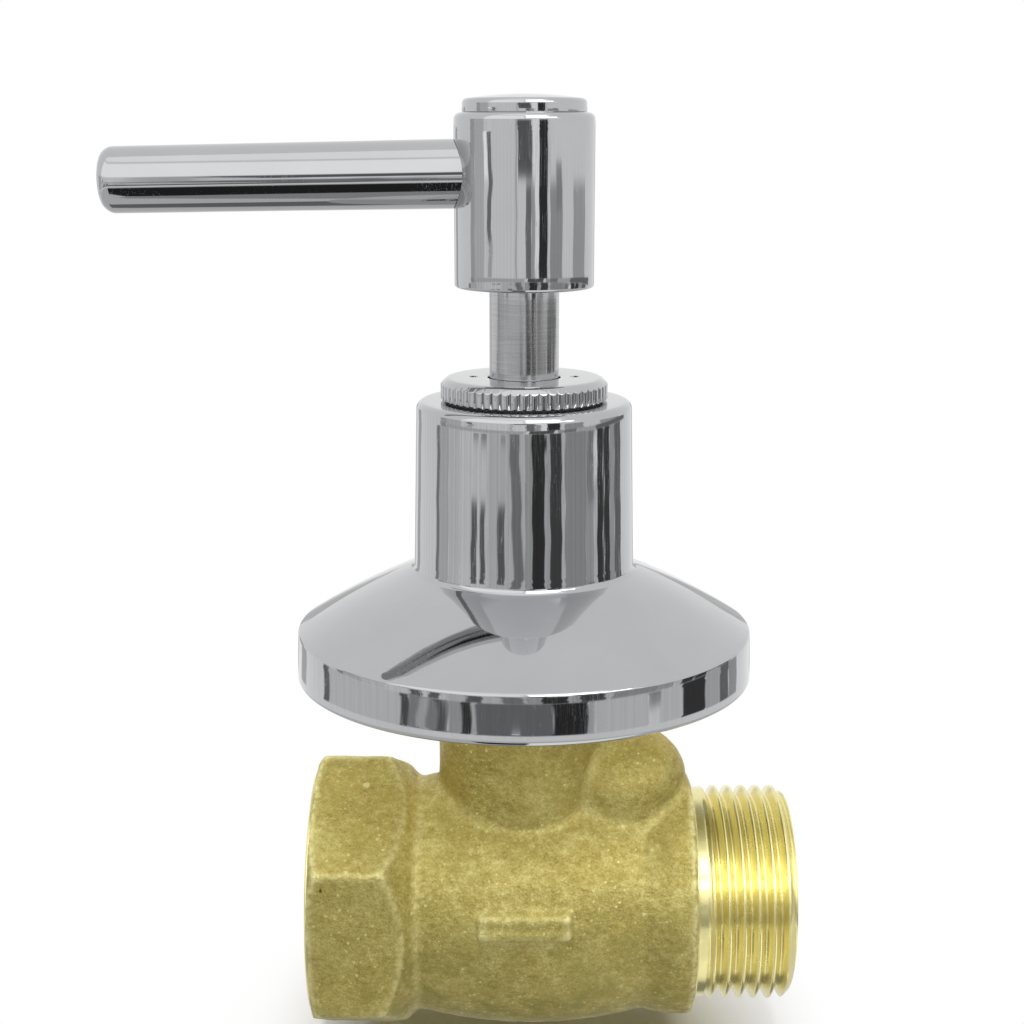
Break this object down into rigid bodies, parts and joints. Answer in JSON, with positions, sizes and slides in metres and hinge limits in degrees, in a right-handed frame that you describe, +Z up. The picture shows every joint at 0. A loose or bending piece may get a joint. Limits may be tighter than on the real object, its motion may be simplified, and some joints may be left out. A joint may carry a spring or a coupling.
{
  "type": "concealed stop valve",
  "caption": "In-wall globe stop valve: cast brass body with female and male pipe ends, chromed wall bell, knurled ring and lever handle on a rising spindle.",
  "frame": {"origin": "centre of the inlet mouth, where the hexagonal female end's face crosses the flow axis", "axes": "+X along the flow from inlet to outlet, +Z up the spindle away from the wall, +Y completes the right-handed frame"},
  "size_m": [0.0823, 0.0554, 0.1166],
  "materials": {
    "cast_brass": "rough sand cast",
    "machined_brass": "bright turned",
    "chrome_trim": "polished chrome plate",
    "turned_chrome": "finely turned chrome plate",
    "steel_screw": "plain zinc plated",
    "fibre": "dark fibre sheet",
    "packing": "waxed packing",
    "nylon": "moulded",
    "black_rubber": "moulded"
  },
  "bodies": {
    "body": {"valve_body": "cast_brass", "headwork_gasket": "fibre", "headwork": "machined_brass", "packing_washer": "machined_brass", "packing_ring": "packing", "gland_nut": "machined_brass", "extension_sleeve": "machined_brass", "escutcheon_bell": "chrome_trim", "ring_washer": "fibre", "knurled_ring_nut": "chrome_trim", "stem_bush": "nylon"},
    "closing_disc": {"jumper": "machined_brass", "seat_washer": "black_rubber", "washer_nut": "machined_brass"},
    "handle": {"spindle": "machined_brass", "spindle_extension": "turned_chrome", "extension_grub_screw": "steel_screw", "handle_hub": "chrome_trim", "lever_rod": "chrome_trim", "spline_insert": "nylon", "handle_screw_washer": "steel_screw", "handle_screw": "steel_screw", "handle_cap": "chrome_trim", "cap_o_ring": "black_rubber"}
  },
  "joints": [
    {"name": "spindle_lift", "type": "slide", "parent": "body", "child": "closing_disc", "axis": [0, 0, 1], "range_m": [-0.0045, 0]},
    {"name": "handle_turn", "type": "hinge", "parent": "closing_disc", "child": "handle", "pos_m": [0.0261, 0, 0], "axis": [0, 0, 1], "range_deg": [-810, 0]}
  ],
  "couplings": [
    {"joint": "handle_turn", "follows": "spindle_lift", "rad_per_m": 3141.6}
  ]
}
